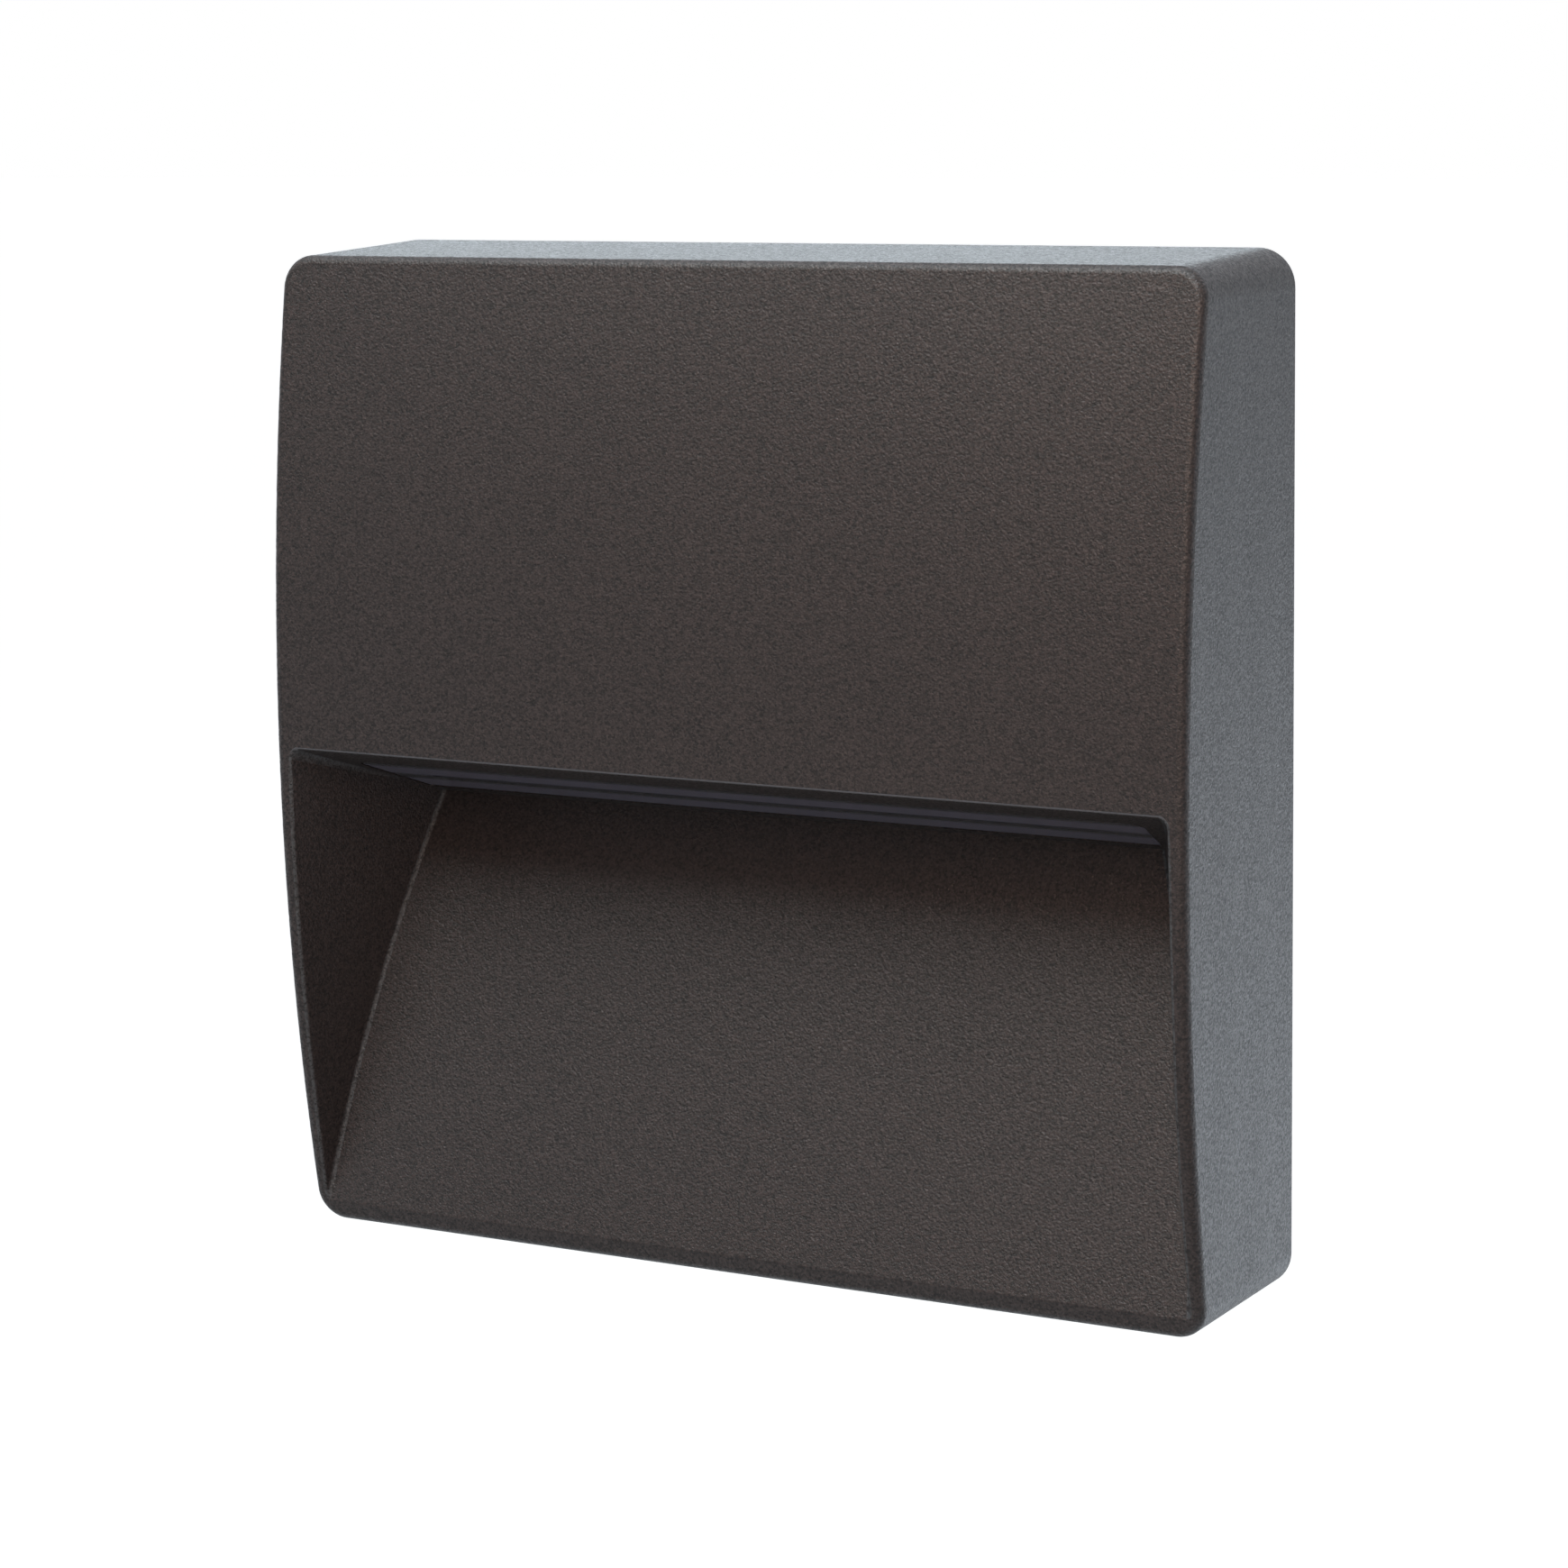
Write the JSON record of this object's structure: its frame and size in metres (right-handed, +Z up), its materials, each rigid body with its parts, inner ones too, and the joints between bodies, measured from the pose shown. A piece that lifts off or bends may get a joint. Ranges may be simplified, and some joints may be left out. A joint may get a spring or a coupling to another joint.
{
  "type": "outdoor wall light",
  "caption": "Square surface-mounted wall light with a convex front and a scooped recess, whose lens strip in the sloping ceiling throws light down the wall.",
  "frame": {"origin": "on the wall, behind the middle of the light", "axes": "+X to the right as seen from the front, +Y into the wall, +Z up"},
  "size_m": [0.22, 0.055, 0.22],
  "materials": {
    "powder_coat": "fine textured matt charcoal powder coat",
    "satin_diffuser": "satin translucent diffuser",
    "grey_silicone": "matt silicone",
    "white_reflector": "high-reflectance white",
    "white_board": "white solder mask on an aluminium core",
    "phosphor": "yellow phosphor",
    "white_nylon": "moulded nylon",
    "thermal_pad": "soft gap filler",
    "bare_aluminium": "mill finish",
    "cast_aluminium": "blasted casting",
    "stainless_steel": "satin",
    "dark_steel": "black oxide",
    "driver_case": "moulded case",
    "brass": "turned",
    "tinned_copper": "tinned",
    "brown_pvc": "wire insulation",
    "blue_pvc": "wire insulation",
    "green_yellow_pvc": "wire insulation, green with yellow",
    "red_pvc": "wire insulation",
    "black_pvc": "wire insulation",
    "black_rubber": "matt",
    "black_nylon": "moulded nylon"
  },
  "bodies": {
    "mounting_plate": {"wall_plate": "cast_aluminium", "perimeter_gasket": "grey_silicone", "cable_grommet": "black_rubber", "cable_clamp": "black_nylon", "clamp_screws": "stainless_steel"},
    "housing": {"front_housing": "powder_coat", "lens": "satin_diffuser", "lens_gasket": "grey_silicone", "reflector": "white_reflector", "led_board": "white_board", "led_chips": "phosphor", "board_connector": "white_nylon", "thermal_pad": "thermal_pad", "heat_spreader": "bare_aluminium", "spreader_screws": "stainless_steel", "led_driver": "driver_case", "driver_screws": "stainless_steel", "terminal_block": "white_nylon", "terminal_inserts": "brass", "terminal_screws": "stainless_steel", "terminal_block_screws": "stainless_steel", "earth_lug": "tinned_copper", "earth_screw": "brass", "live_wire": "brown_pvc", "neutral_wire": "blue_pvc", "earth_wire": "green_yellow_pvc", "led_wire_positive": "red_pvc", "led_wire_negative": "black_pvc"},
    "left_lock_screw": {"lock_screw_left": "dark_steel"},
    "right_lock_screw": {"lock_screw_right": "dark_steel"}
  },
  "joints": [
    {"name": "housing_lift_off", "type": "slide", "parent": "mounting_plate", "child": "housing", "axis": [0, -1, 0], "range_m": [0, 0.06]},
    {"name": "left_lock_screw_out", "type": "slide", "parent": "housing", "child": "left_lock_screw", "axis": [0, 0, -1], "range_m": [0, 0.005]},
    {"name": "right_lock_screw_out", "type": "slide", "parent": "housing", "child": "right_lock_screw", "axis": [0, 0, -1], "range_m": [0, 0.005]}
  ]
}
